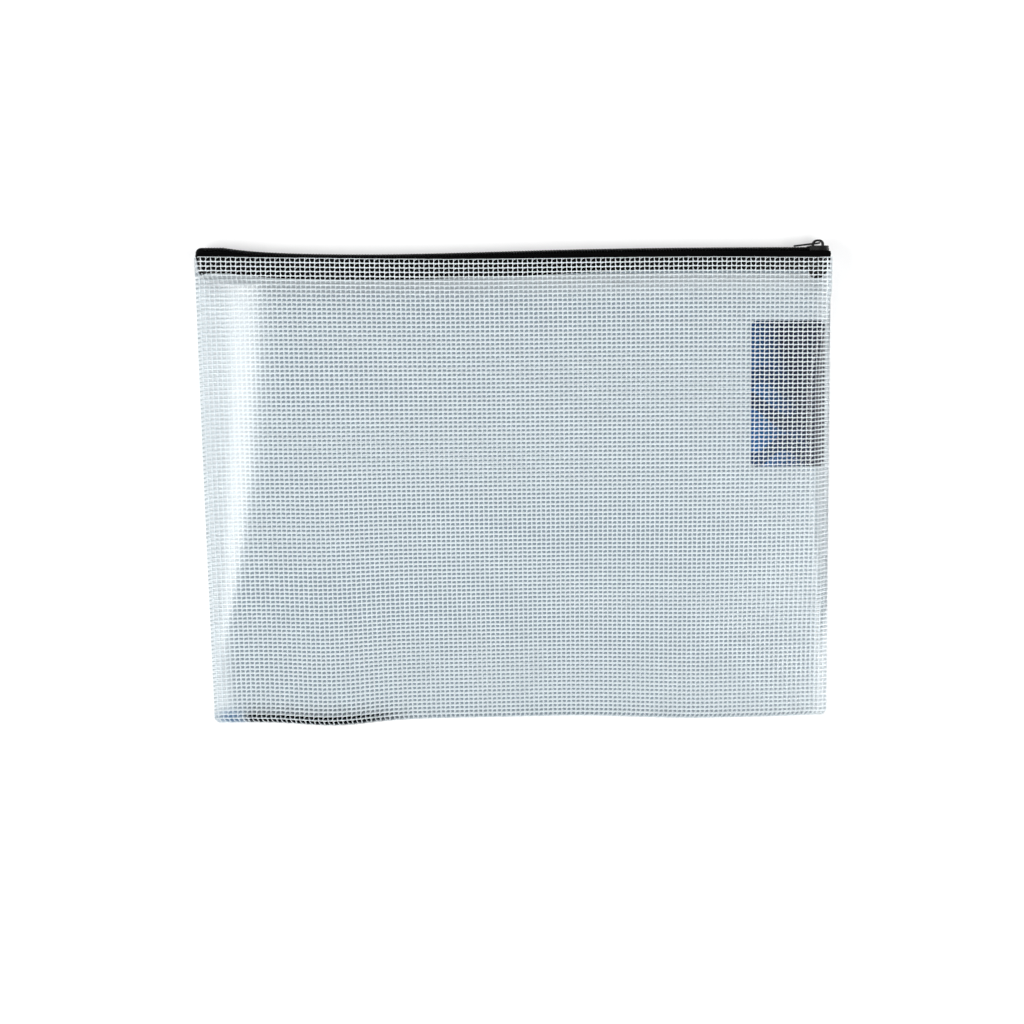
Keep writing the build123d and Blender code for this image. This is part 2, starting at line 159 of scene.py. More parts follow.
class ZipSettings(bpy.types.PropertyGroup):
    """Sizes and colours of the zip."""

    tape_thickness: FloatProperty(name="Tape thickness", description="Thickness of the woven tape",
                                  default=0.6 * MM, unit="LENGTH")
    tape_bend: FloatProperty(name="Tape bend", description="Radius of the tape's bend",
                             default=1.3 * MM, unit="LENGTH")
    sag: FloatProperty(name="Sag", description="How far the zip dips left of its middle",
                       default=3.7 * MM, unit="LENGTH")
    end_round: FloatProperty(name="End rounding", description="Radius of the zip's left end",
                             default=3 * MM, unit="LENGTH")
    skirt_lift: FloatProperty(name="Skirt lift", description="Rise of the tape's lower edge at the right",
                              default=1.3 * MM, unit="LENGTH")
    skirt_inset: FloatProperty(name="Skirt inset", description="How far the lower edge ends short of the top",
                               default=1.6 * MM, unit="LENGTH")
    coil_pitch: FloatProperty(name="Coil pitch", description="Distance between two loops of one row",
                              default=1.5 * MM, unit="LENGTH")
    wire_radius: FloatProperty(name="Wire radius", description="Radius of the coil's monofilament",
                               default=0.36 * MM, unit="LENGTH")
    thread_radius: FloatProperty(name="Thread radius", description="Radius of the sewing thread",
                                 default=0.12 * MM, unit="LENGTH")
    tape_color: FloatVectorProperty(name="Tape", description="Colour of tape, tabs and thread",
                                    subtype="COLOR", default=(0.0008, 0.0008, 0.0009))
    coil_color: FloatVectorProperty(name="Coil", description="Colour of the coil's monofilament",
                                    subtype="COLOR", default=(0.0012, 0.0012, 0.0013))
    enamel_color: FloatVectorProperty(name="Enamel", description="Colour of the slider's paint",
                                      subtype="COLOR", default=(0.0012, 0.0012, 0.0013))


class CardSettings(bpy.types.PropertyGroup):
    """Shape and colours of the printed card."""

    curl: FloatProperty(name="Curl", description="How far the card's free edge lifts",
                        default=0.9 * MM, unit="LENGTH")
    corner: FloatProperty(name="Corner", description="Radius of the card's corners",
                          default=1.5 * MM, unit="LENGTH")
    field_color: FloatVectorProperty(name="Field", description="Main blue of the print",
                                     subtype="COLOR", default=(0.008, 0.10, 0.31))
    dark_color: FloatVectorProperty(name="Dark", description="Navy of the sky and the hills",
                                    subtype="COLOR", default=(0.001, 0.007, 0.030))
    tuck: FloatProperty(name="Tuck", description="How far the card reaches under the right wall",
                        default=0.8 * MM, unit="LENGTH")


class StageSettings(bpy.types.PropertyGroup):
    """Camera, lamps and floor."""

    lens: FloatProperty(name="Lens", description="Camera focal length in millimetres", default=50)
    camera_place: FloatVectorProperty(name="Camera", description="Where the camera stands",
                                      default=(-0.0492, 0.0895, 0.7660), subtype="XYZ")
    camera_turn: FloatVectorProperty(name="Camera turn", description="Camera rotation", subtype="EULER",
                                     default=[math.radians(turn) for turn in (-7.405, -3.498, -0.265)])
    lamp_power: FloatProperty(name="Lamp power", description="Power of each side lamp in watts", default=8.4)
    sky: FloatProperty(name="Sky", description="Level of the even light at the horizon", default=1.0)
    floor_color: FloatVectorProperty(name="Floor", description="Colour of the floor",
                                     subtype="COLOR", default=(0.96, 0.96, 0.96))
    backdrop: FloatProperty(name="Backdrop", description="Share of plain white seen on the near floor",
                            default=0.30, min=0, max=1)


# Mesh helpers


def mesh_object(name, points, faces, material):
    """A new smooth object from points and faces."""
    mesh = bpy.data.meshes.new(name)
    mesh.from_pydata(np.asarray(points).reshape(-1, 3).tolist(), [], [list(map(int, face)) for face in faces])
    mesh.validate()
    mesh.polygons.foreach_set("use_smooth", [True] * len(mesh.polygons))
    mesh.materials.append(material)
    mesh.update()
    piece = bpy.data.objects.new(name, mesh)
    bpy.context.collection.objects.link(piece)
    return piece


def grid_faces(rows, columns, around=False):
    """Faces of a grid of points, row after row, closed along its columns if it goes around."""
    steps = np.arange(columns if around else columns - 1)
    row, column = np.meshgrid(np.arange(rows - 1), steps, indexing="ij")
    following = (column + 1) % columns
    corners = [row * columns + column, row * columns + following]
    corners += [(row + 1) * columns + following, (row + 1) * columns + column]
    return np.stack(corners, -1).reshape(-1, 4)


def tube_faces(rings, around):
    """Faces of a closed tube of rings with so many points around, and of its two ends."""
    last = (rings - 1) * around
    ends = [list(range(around - 1, -1, -1)), list(range(last, last + around))]
    return grid_faces(rings, around, around=True).tolist() + ends


def unit(vectors):
    """Vectors of an array, each made one long."""
    return vectors / np.maximum(np.linalg.norm(vectors, axis=-1, keepdims=True), 1e-12)


def strands(paths, normals, width, height, both_sides):
    """Points and faces of flat yarns along paths (strand, point, 3), with a crest on one side or both."""
    along = unit(np.gradient(paths, axis=1))
    side = unit(np.cross(normals, along)) * np.asarray(width)[..., None] / 2
    ring = [paths - side, paths + side, paths + normals * height]
    if both_sides:
        ring.insert(1, paths - normals * height)
    around = len(ring)
    count, length = paths.shape[:2]
    one = grid_faces(length, around, around=True)
    caps = np.stack([np.arange(around), around * length - 1 - np.arange(around)])
    starts = np.arange(count)[:, None, None] * around * length
    faces = (starts + one[None]).reshape(-1, 4).tolist() + (starts + caps[None]).reshape(-1, around).tolist()
    return np.stack(ring, axis=2).reshape(-1, 3), faces


def tube(path, radius, sides, reference=(1, 0, 0)):
    """Points and faces of a round tube along one path, with closed ends."""
    path = np.asarray(path)
    along = unit(np.gradient(path, axis=0))
    first = unit(np.cross(along, np.asarray(reference, float)))
    second = np.cross(along, first)
    angles = np.arange(sides) * 2 * math.pi / sides
    ring = first[:, None] * np.cos(angles)[None, :, None] + second[:, None] * np.sin(angles)[None, :, None]
    points = path[:, None] + ring * radius
    return points.reshape(-1, 3), tube_faces(len(path), sides)


def join(parts):
    """Several (points, faces) as one."""
    points, faces, start = [], [], 0
    for some_points, some_faces in parts:
        points.append(np.asarray(some_points).reshape(-1, 3))
        faces += [[corner + start for corner in face] for face in some_faces]
        start += len(points[-1])
    return np.concatenate(points), faces


def attach(piece, body, slot, *nodes):
    """Rides a piece on a body and hides the solids that it stands for; its slot is not used."""
    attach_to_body(piece, body)
    if nodes:
        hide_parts(*nodes)
    return piece


def bump(x, middle, spread):
    """Smooth hill of height one."""
    return np.exp(-(((x - middle) / spread) ** 2))


def ease(share):
    """Smooth step from nought to one."""
    share = np.clip(share, 0, 1)
    return share * share * (3 - 2 * share)


# Sheet shape

# How far below the zip the side walls take to widen, at the left and the right, and how far between the two
LEFT_WIDENING = 6 * MM
RIGHT_WIDENING = 60 * MM
WALL_TURN = 60 * MM

# Bands beside the zip and the bottom weld in which ripples and dents die out, and the least rise they leave
CALM_TOP = 20 * MM
CALM_BOTTOM = 30 * MM
POCKET_LEAST = 1.2 * MM

# Slow waves: their lengths across and up, and the lengths and amount of their sway
WAVE_ACROSS = 17 * MM
WAVE_UP = 14 * MM
SWAY_ACROSS = 31 * MM
SWAY_UP = 23 * MM
SWAY = 1.3

# Dents: place, half width, half height and depth
DENTS = (
    (-129 * MM, -6 * MM, 13 * MM, 13 * MM, 1.0 * MM),
    (-104 * MM, -32 * MM, 20 * MM, 9 * MM, 0.6 * MM),
    (-60 * MM, 40 * MM, 45 * MM, 20 * MM, 0.5 * MM),
    (70 * MM, -45 * MM, 40 * MM, 25 * MM, 0.5 * MM),
)

# Strays of the top and bottom edges from the straight: height, middle and spread
TOP_STRAYS = (
    (0.4 * MM, -HALF_W, 30 * MM),
    (-1.15 * MM, -30 * MM, 80 * MM),
    (-0.4 * MM, 155 * MM, 30 * MM),
)
BOTTOM_STRAYS = (
    (0.8 * MM, 185 * MM, 30 * MM),
    (-2.8 * MM, -106 * MM, 26 * MM),
)

# Bottom edge: its place at the left, and how far it falls to the right, from where and over what length
BOTTOM_LEFT = 1.2 * MM
BOTTOM_FALL = 3.0 * MM
BOTTOM_FALL_FROM = 20 * MM
BOTTOM_FALL_LENGTH = 85 * MM

# Left edge: how far its yarns droop and how far in that reaches, and the pinch at its top
DROOP = 1.1 * MM
DROOP_REACH = 7 * MM
PINCH = 0.8 * MM
PINCH_FROM = -100 * MM
PINCH_LENGTH = 70 * MM

# Dark rows of painted shade along the bottom: share of those at the weld, least share beyond the darkest
# stretch, and that stretch's ends
DARK_AT_WELD = 0.75
DARK_LEAST = 0.06
DARK_LEFT = -157 * MM
DARK_RIGHT = -58 * MM

# Pale bands of painted light: least width and full part at the left, width at the right, share and width
# below the tape
PALE_LEFT_LEAST = 11 * MM
PALE_LEFT_FULL = 0.2
PALE_RIGHT = 9 * MM
PALE_BELOW_TAPE = 0.6
PALE_TAPE_BAND = 15 * MM

# Crumple's painted shade: place from the bottom left corner, and spread
CRUMPLE_PLACE = (9 * MM, 3 * MM)
CRUMPLE_SPREAD = (6 * MM, 3.5 * MM)


def long_curve(y, s):
    """Rise of the front sheet from the bottom weld up to the zip: two arcs, as on the solid."""
    distance = y + HALF_H
    weld = s.bottom_weld
    middle = weld + s.bulge_start
    end = 2 * HALF_H - OVERLAP
    turn = 2 * math.atan(RISE / (end - weld))
    low_radius = (middle - weld) / math.sin(turn)
    high_radius = (end - middle) / math.sin(turn)
    below = np.clip(distance - weld, 0, middle - weld)
    above = np.clip(end - distance, 0, end - middle)
    low = low_radius - np.sqrt(low_radius**2 - below**2)
    high = RISE - high_radius + np.sqrt(high_radius**2 - above**2)
    return np.where(distance < middle, low, high)


def wall_places(x, y, s):
    """Half widths at the foot and top of the front sheet's side walls, beside a flat place."""
    right = ease(x / WALL_TURN)
    start = HALF_H - OVERLAP - TAIL_ROOM * right
    below = ease((start - y) / (LEFT_WIDENING + (RIGHT_WIDENING - LEFT_WIDENING) * right))
    slope = np.where(x < 0, math.tan(s.left_slope), math.tan(s.right_slope))
    steady = np.maximum(long_curve(y, s) / slope, s.wall_least)
    weld = np.where(x < 0, s.left_weld, s.right_weld)
    foot = HALF_W - s.weld_at_zip - (weld - s.weld_at_zip) * below
    return foot, foot - s.wall_at_zip - (steady - s.wall_at_zip) * below


def soft_ramp(share, rounding=0.4):
    """Straight rise from nought to one with rounded ends."""
    share = np.clip(share, 0, 1)
    low = share**2 / (2 * rounding * (1 - rounding))
    high = 1 - (1 - share) ** 2 / (2 * rounding * (1 - rounding))
    middle = (share - rounding / 2) / (1 - rounding)
    return np.where(share < rounding, low, np.where(share > 1 - rounding, high, middle))


def front_height(x, y, s):
    """Height of the middle of the front film."""
    foot, top = wall_places(x, y, s)
    wall = soft_ramp((foot - np.abs(x)) / (foot - top))
    inside = ease((HALF_H - OVERLAP - y) / CALM_TOP) * ease((y + HALF_H - s.bottom_weld) / CALM_BOTTOM)
    rise = long_curve(y, s)
    slow = np.sin(x / WAVE_ACROSS + SWAY * np.sin(y / SWAY_UP)) + np.sin(y / WAVE_UP - x / SWAY_ACROSS)
    fall = s.ripple * (1 + slow / 2)
    for middle_x, middle_y, wide, high, depth in DENTS:
        fall = fall + depth * bump(x, middle_x, wide) * bump(y, middle_y, high)
    room = np.maximum(rise - POCKET_LEAST, 0)
    return FILM * 1.5 + wall * (rise - np.minimum(fall * inside, room))


def strays(x, hills):
    """Height of a row of smooth hills along an edge."""
    return sum(height * bump(x, middle, spread) for height, middle, spread in hills)


def edge_shift(x, y):
    """How far the sheets' outline strays from the straight, fading out from the top and bottom edges."""
    share = (y + HALF_H) / (2 * HALF_H)
    top = strays(x, TOP_STRAYS)
    fall = BOTTOM_FALL * ease((x - BOTTOM_FALL_FROM) / BOTTOM_FALL_LENGTH)
    bottom = BOTTOM_LEFT - fall + strays(x, BOTTOM_STRAYS)
    droop = DROOP * np.exp(-(x + HALF_W) / DROOP_REACH) * 4 * share * (1 - share)
    return top * share**3 + bottom * (1 - share) ** 3 - droop


def side_shift(x, y, s):
    """How far a place lies to the right of its flat place: the lean, and a pinch at the top left."""
    share = (y + HALF_H) / (2 * HALF_H)
    return s.lean * (1 - share) + PINCH * share**3 * ease((PINCH_FROM - x) / PINCH_LENGTH)


def sheet_points(x, y, s, front):
    """Points of a film at flat places x and y."""
    depth = np.clip(s.corner - (y + HALF_H), 0, s.corner)
    cut = s.corner - np.sqrt(s.corner**2 - depth**2)
    height = front_height(x, y, s) if front else np.full_like(x, FILM / 2)
    return np.stack([x * (1 - cut / HALF_W) + side_shift(x, y, s), y + edge_shift(x, y), height], -1)


def bottom_painted_shade(x, y, s):
    """Share of the painted shade: dark rows above the bottom edge, deepest left of their middle."""
    up = y + HALF_H
    at_weld = ease((s.bottom_weld + 2.2 * MM - up) / (1.6 * MM))
    above = ease((14 * MM - up) / (9 * MM))
    row = DARK_AT_WELD * at_weld + (1 - DARK_AT_WELD) * above
    deep = ease((x - DARK_LEFT) / (8 * MM)) * ease((DARK_RIGHT - x) / (40 * MM))
    return row * (DARK_LEAST + (1 - DARK_LEAST) * deep)


def painted_light_bands(x, y, s):
    """Share of the painted light, a pale tint: up the left wall from its weld, along the right weld and below
    the tape.
    """
    foot, top = wall_places(x, y, s)
    wide = np.maximum(foot - top, PALE_LEFT_LEAST)
    left = 1 - ease(((foot + x) / wide - PALE_LEFT_FULL) / (1 - PALE_LEFT_FULL))
    right = 1 - ease((HALF_W - x - s.right_weld) / PALE_RIGHT)
    under = HALF_H - OVERLAP - y
    below_tape = PALE_BELOW_TAPE * ease((PALE_TAPE_BAND - under) / (13 * MM))
    return np.maximum(np.where(x < 0, left, right), below_tape) * ease(under / (2 * MM))


def crumple_painted_shade(x, y, s):
    """Share of the painted shade, a blue tint, of a crumple in the bottom left corner."""
    across = bump(x + HALF_W, CRUMPLE_PLACE[0], CRUMPLE_SPREAD[0])
    return across * bump(y + HALF_H, CRUMPLE_PLACE[1], CRUMPLE_SPREAD[1])


def sheet_normals(x, y, s, front):
    """Upward normals of a film."""
    if not front:
        return np.broadcast_to(np.array([0.0, 0.0, 1.0]), x.shape + (3,))
    step = 0.2 * MM
    slope_x = (front_height(x + step, y, s) - front_height(x - step, y, s)) / (2 * step)
    slope_y = (front_height(x, y + step, s) - front_height(x, y - step, s)) / (2 * step)
    return unit(np.stack([-slope_x, -slope_y, np.ones_like(x)], -1))


# Shader helpers


def put(tree, kind, **values):
    """Adds a node; values are its settings, or its inputs by number or name in `inputs`."""
    inputs = values.pop("inputs", {})
    made = tree.nodes.new(kind)
    for key, value in values.items():
        setattr(made, key, value)
    for key, value in inputs.items():
        if isinstance(value, bpy.types.NodeSocket):
            tree.links.new(value, made.inputs[key])
        else:
            made.inputs[key].default_value = value
    return made


def math_node(tree, operation, *inputs):
    """A math node's output."""
    return put(tree, "ShaderNodeMath", operation=operation, inputs=dict(enumerate(inputs))).outputs[0]


def mixed(tree, share, first, second):
    """Mix of two colours."""
    made = put(tree, "ShaderNodeMix", data_type="RGBA", inputs={0: share, 6: first, 7: second})
    return made.outputs[2]


def rgba(color, factor=1.0):
    """A colour times a factor, with full alpha."""
    return (*(factor * part for part in color), 1.0)


def mixed_shaders(tree, out, share, first, second):
    """Mix of two shaders on the material's output."""
    made = put(tree, "ShaderNodeMixShader", inputs={0: share, 1: first.outputs[0], 2: second.outputs[0]})
    tree.links.new(made.outputs[0], out.inputs[0])


def coordinates(tree, kind="Object"):
    """Texture coordinates of one kind."""
    return put(tree, "ShaderNodeTexCoord").outputs[kind]


def axes(tree, kind="Object"):
    """Texture coordinates of one kind, as X, Y and Z."""
    return put(tree, "ShaderNodeSeparateXYZ", inputs={0: coordinates(tree, kind)}).outputs


def noise(tree, scale, detail, **place):
    """A noise texture's value, at the place given as its Vector if there is one."""
    return put(tree, "ShaderNodeTexNoise", inputs={"Scale": scale, "Detail": detail, **place}).outputs[0]


def new_group(name, inputs, outputs):
    """A shader node group with named sockets, and its input and output nodes."""
    group = bpy.data.node_groups.new(name, "ShaderNodeTree")
    for label, kind, default in inputs:
        socket = group.interface.new_socket(label, in_out="INPUT", socket_type=kind)
        socket.default_value = default
    for label, kind in outputs:
        group.interface.new_socket(label, in_out="OUTPUT", socket_type=kind)
    return group, group.nodes.new("NodeGroupInput"), group.nodes.new("NodeGroupOutput")


def fibre_group():
    """Fine streaks and mottling of fibres: a varied colour and a height."""
    if "fibre_mottle" in bpy.data.node_groups:
        return bpy.data.node_groups["fibre_mottle"]
    group, given, out = new_group(
        "fibre_mottle",
        [("Color", "NodeSocketColor", (1, 1, 1, 1)), ("Shade", "NodeSocketColor", (0.5, 0.5, 0.5, 1)),
         ("Scale", "NodeSocketFloat", 1500.0)],
        [("Color", "NodeSocketColor"), ("Height", "NodeSocketFloat")],
    )
    place = coordinates(group)
    fine = noise(group, given.outputs["Scale"], 3.0, Vector=place)
    slow = noise(group, 60.0, 2.0, Vector=place)
    share = math_node(group, "MULTIPLY", math_node(group, "MULTIPLY", fine, slow), 1.6)
    group.links.new(mixed(group, share, given.outputs["Color"], given.outputs["Shade"]), out.inputs["Color"])
    group.links.new(fine, out.inputs["Height"])
    return group


def weave_group():
    """Height of the slanting ribs of a twill tape."""
    if "twill_ribs" in bpy.data.node_groups:
        return bpy.data.node_groups["twill_ribs"]
    group, given, out = new_group(
        "twill_ribs",
        [("Pitch", "NodeSocketFloat", 0.0007)],
        [("Height", "NodeSocketFloat")],
    )
    place = axes(group)
    depth = math_node(group, "ADD", place["Y"], place["Z"])
    turns = math_node(group, "DIVIDE", 2 * math.pi, given.outputs["Pitch"])
    ribs = []
    for slant in ("ADD", "SUBTRACT"):
        line = math_node(group, slant, place["X"], depth)
        ribs.append(math_node(group, "SINE", math_node(group, "MULTIPLY", line, turns)))
    height = math_node(group, "MULTIPLY", math_node(group, "ADD", *ribs), 0.5)
    group.links.new(height, out.inputs["Height"])
    return group


def emboss_group():
    """Height of the shallow pillows that the yarn grid presses into a film."""
    if "grid_emboss" in bpy.data.node_groups:
        return bpy.data.node_groups["grid_emboss"]
    group, given, out = new_group(
        "grid_emboss",
        [("Pitch X", "NodeSocketFloat", 0.00258), ("Pitch Y", "NodeSocketFloat", 0.0023)],
        [("Height", "NodeSocketFloat")],
    )
    place = axes(group)
    waves = []
    for axis in ("X", "Y"):
        turns = math_node(group, "DIVIDE", math.pi, given.outputs["Pitch " + axis])
        wave = math_node(group, "SINE", math_node(group, "MULTIPLY", place[axis], turns))
        waves.append(math_node(group, "ABSOLUTE", wave))
    hollow = math_node(group, "MULTIPLY", *waves)
    group.links.new(math_node(group, "SUBTRACT", 1.0, hollow), out.inputs["Height"])
    return group


def enamel_group():
    """Thin worn paint: a varied colour and roughness, and the height of its grain."""
    if "enamel_wear" in bpy.data.node_groups:
        return bpy.data.node_groups["enamel_wear"]
    group, given, out = new_group(
        "enamel_wear",
        [("Color", "NodeSocketColor", (0, 0, 0, 1)), ("Worn", "NodeSocketColor", (0.05, 0.05, 0.05, 1)),
         ("Roughness", "NodeSocketFloat", 0.3)],
        [("Color", "NodeSocketColor"), ("Roughness", "NodeSocketFloat"), ("Height", "NodeSocketFloat")],
    )
    place = coordinates(group)
    cloud = noise(group, 900.0, 4.0, Vector=place)
    grain = noise(group, 4000.0, 2.0, Vector=place)
    edge = put(group, "ShaderNodeNewGeometry").outputs["Pointiness"]
    worn = math_node(group, "MULTIPLY", math_node(group, "SUBTRACT", edge, 0.53), 8.0)
    worn = put(group, "ShaderNodeClamp", inputs={0: math_node(group, "MULTIPLY", worn, cloud)}).outputs[0]
    group.links.new(mixed(group, worn, given.outputs["Color"], given.outputs["Worn"]), out.inputs["Color"])
    rough = math_node(group, "ADD", given.outputs["Roughness"], math_node(group, "MULTIPLY", cloud, 0.15))
    group.links.new(rough, out.inputs["Roughness"])
    group.links.new(grain, out.inputs["Height"])
    return group


def new_material(name):
    """An empty node material and its output."""
    material = bpy.data.materials.new(name)
    material.use_nodes = True
    material.node_tree.nodes.clear()
    return material, material.node_tree, material.node_tree.nodes.new("ShaderNodeOutputMaterial")


def place_group(tree, group, **values):
    """A group node with its inputs set by name, with spaces for underscores."""
    made = put(tree, "ShaderNodeGroup", node_tree=group)
    for key, value in values.items():
        made.inputs[key.replace("_", " ")].default_value = value
    return made


def bumped(tree, height, strength, distance):
    """Normal of a bump."""
    inputs = {"Strength": strength, "Distance": distance, "Height": height}
    return put(tree, "ShaderNodeBump", inputs=inputs).outputs[0]


def film_material(s, name, tint):
    """Clear glossy film, pillowed by the yarns, with painted light up the walls and painted shade along the
    bottom and in the crumple; the tint given for the back film is painted shade too.
    """
    material, tree, out = new_material(name)
    emboss = place_group(tree, emboss_group(), Pitch_X=s.warp_pitch, Pitch_Y=s.weft_pitch)
    crinkle = noise(tree, 220.0, 3.0, Vector=coordinates(tree))
    height = math_node(tree, "ADD", emboss.outputs["Height"], math_node(tree, "MULTIPLY", crinkle, 0.6))
    normal = bumped(tree, height, 0.35, 0.12 * MM)
    tint = rgba(tint)
    # Painted light and shade mixed into the film's tint: pale bands of painted light, dark bottom rows of
    # painted shade, and the crumple's painted shade.
    tints = (("painted_light_bands", s.painted_light_tint), ("bottom_painted_shade", s.bottom_shade_tint), ("crumple_painted_shade", s.crumple_shade_tint))
    for label, color in tints:
        share = put(tree, "ShaderNodeAttribute", attribute_name=label).outputs["Fac"]
        tint = mixed(tree, share, tint, rgba(color))
    clear = put(tree, "ShaderNodeBsdfTransparent", inputs={0: tint})
    gloss = put(tree, "ShaderNodeBsdfGlossy", inputs={"Roughness": s.film_roughness, "Normal": normal})
    # A film has air on both sides, so its index is turned round for what is seen from below.
    behind = put(tree, "ShaderNodeNewGeometry").outputs["Backfacing"]
    index = put(tree, "ShaderNodeMapRange", inputs={0: behind, 3: s.film_index, 4: 1 / s.film_index})
    shine = put(tree, "ShaderNodeFresnel", inputs={"IOR": index.outputs[0], "Normal": normal})
    mixed_shaders(tree, out, shine.outputs[0], clear, gloss)
    return material


def principled(tree, out, color, roughness, normal=None, **values):
    """A Principled shader on the material's output."""
    shader = put(tree, "ShaderNodeBsdfPrincipled", inputs={"Base Color": color, "Roughness": roughness})
    for key, value in values.items():
        shader.inputs[key.replace("_", " ")].default_value = value
    if normal is not None:
        tree.links.new(normal, shader.inputs["Normal"])
    tree.links.new(shader.outputs[0], out.inputs[0])
    return shader


def yarn_material(s):
    """White polyester yarn under film."""
    material, tree, out = new_material("white_yarn")
    fibre = place_group(tree, fibre_group(), Color=rgba(s.yarn_color),
                        Shade=rgba(s.yarn_color, 0.94), Scale=1800.0)
    normal = bumped(tree, fibre.outputs["Height"], 0.4, 0.05 * MM)
    solid = principled(tree, out, fibre.outputs["Color"], 0.42, normal, Coat_Weight=0.25, Coat_Roughness=0.2)
    inputs = {"Color": fibre.outputs["Color"], "Normal": normal}
    through = put(tree, "ShaderNodeBsdfTranslucent", inputs=inputs)
    mixed_shaders(tree, out, s.yarn_through, solid, through)
    return material


def tape_material(z):
    """Black woven polyester tape."""
    material, tree, out = new_material("black_tape")
    fibre = place_group(tree, fibre_group(), Color=rgba(z.tape_color),
                        Shade=rgba(z.tape_color, 2.2), Scale=2500.0)
    weave = place_group(tree, weave_group(), Pitch=0.75 * MM)
    fuzz = math_node(tree, "MULTIPLY", fibre.outputs["Height"], 0.5)
    height = math_node(tree, "ADD", weave.outputs["Height"], fuzz)
    principled(tree, out, fibre.outputs["Color"], 0.85, bumped(tree, height, 0.8, 0.12 * MM),
               Specular_IOR_Level=0.03)
    return material


def smooth_black(name, color, worn, roughness, relief, shine):
    """Smooth black finish, a little paler where its edges are worn; relief is a bump's strength and depth."""
    material, tree, out = new_material(name)
    wear = place_group(tree, enamel_group(), Color=rgba(color), Worn=rgba([worn] * 3), Roughness=roughness)
    normal = bumped(tree, wear.outputs["Height"], *relief)
    principled(tree, out, wear.outputs["Color"], wear.outputs["Roughness"], normal, Specular_IOR_Level=shine)
    return material


def coil_material(z):
    """Black nylon monofilament with a soft shine."""
    return smooth_black("black_nylon", z.coil_color, 0.008, 0.28, (0.1, 0.03 * MM), 0.15)


def enamel_material(z):
    """Black enamel on die-cast metal."""
    return smooth_black("black_enamel", z.enamel_color, 0.020, 0.25, (0.12, 0.04 * MM), 0.25)


# Hills on the card: level, swing, turns across, phase and share of the dark colour, and how deep each band is
HILLS = (
    (0.62, 0.07, 7.0, 0.4, 0.6),
    (0.44, 0.09, 5.0, 2.0, 0.8),
    (0.16, 0.06, 8.0, 4.1, 0.7),
)
HILL_DEPTH = 0.11


def card_material(c):
    """Coated card printed with plain hills under a dark sky."""
    material, tree, out = new_material("printed_card")
    place = axes(tree, "Generated")
    across, up = place["X"], place["Y"]
    slant = math_node(tree, "MULTIPLY_ADD", across, 0.9, math_node(tree, "MULTIPLY", up, 0.5))
    sky = put(tree, "ShaderNodeMapRange", inputs={0: slant, 1: 0.15, 2: 0.8}).outputs[0]
    color = mixed(tree, sky, rgba(c.field_color), rgba(c.dark_color))
    for level, swing, turns, phase, share in HILLS:
        wave = math_node(tree, "SINE", math_node(tree, "MULTIPLY_ADD", across, turns, phase))
        line = math_node(tree, "MULTIPLY_ADD", wave, swing, level)
        under = math_node(tree, "LESS_THAN", up, line)
        band = math_node(tree, "GREATER_THAN", up, math_node(tree, "SUBTRACT", line, HILL_DEPTH))
        inside = math_node(tree, "MULTIPLY", math_node(tree, "MULTIPLY", under, band), share)
        color = mixed(tree, inside, color, rgba(c.dark_color))
    normal = bumped(tree, noise(tree, 900.0, 2.0), 0.05, 0.03 * MM)
    principled(tree, out, color, 0.5, normal, Specular_IOR_Level=0.2)
    return material


# Distances in metres from which the floor starts to turn plain white, and at which it is
WHITE_FROM = 0.35
WHITE_AT = 1.0


def floor_material(g):
    """Pale floor with a trace of mottling, seen as plain white far from the wallet."""
    material, tree, out = new_material("pale_floor")
    color = mixed(tree, noise(tree, 3.0, 2.0), rgba(g.floor_color), rgba(g.floor_color, 0.985))
    surface = principled(tree, out, color, 0.9, Specular_IOR_Level=0.0)
    path = put(tree, "ShaderNodeLightPath").outputs
    seen = math_node(tree, "MAXIMUM", path["Is Camera Ray"], path["Is Glossy Ray"])
    seen = math_node(tree, "MAXIMUM", seen, path["Is Transmission Ray"])
    away = put(tree, "ShaderNodeVectorMath", operation="LENGTH", inputs={0: coordinates(tree)})
    reach = {0: away.outputs["Value"], 1: WHITE_FROM, 2: WHITE_AT, 3: g.backdrop, 4: 1.0}
    plain = put(tree, "ShaderNodeMapRange", inputs=reach).outputs[0]
    white = put(tree, "ShaderNodeEmission", inputs={"Color": (1, 1, 1, 1), "Strength": 1.0})
    mixed_shaders(tree, out, math_node(tree, "MULTIPLY", seen, plain), surface, white)
    return material


# Pieces


def named_material(name, make, settings):
    """A material made once."""
    return bpy.data.materials.get(name) or make(settings)


def wallet_piece(name, shape, material, slot, *nodes):
    """A piece of the wallet's own body, from points and faces."""
    return attach(mesh_object(name, *shape, material), "wallet", slot, *nodes)


class WALLET_OT_films(bpy.types.Operator):
    """Builds the clear front and back films"""

    bl_idname = "wallet.films"
    bl_label = "Films"

    def execute(self, context):
        s = context.scene.wallet_sheets
        columns = round(2 * HALF_W / s.film_step) + 1
        rows = round(2 * HALF_H / s.film_step) + 1
        across = np.linspace(-HALF_W, HALF_W, columns)
        y, x = np.meshgrid(np.linspace(-HALF_H, HALF_H, rows), across, indexing="ij")
        # The back film's darker tint is painted shade, standing in for the shade inside the wallet.
        for side, tint in (("front", s.front_tint), ("back", s.back_shade_tint)):
            material = film_material(s, f"{side}_film", tint)
            shape = sheet_points(x, y, s, side == "front"), grid_faces(rows, columns)
            piece = wallet_piece(f"{side}_film", shape, material, "mesh_sheet", f"{side}_sheet")
            # Masks of painted light and shade stored on each film.
            for shares in (painted_light_bands, bottom_painted_shade, crumple_painted_shade):
                data = piece.data.attributes.new(shares.__name__, "FLOAT", "POINT").data
                data.foreach_set("value", np.broadcast_to(shares(x, y, s), x.shape).ravel())
        return {"FINISHED"}


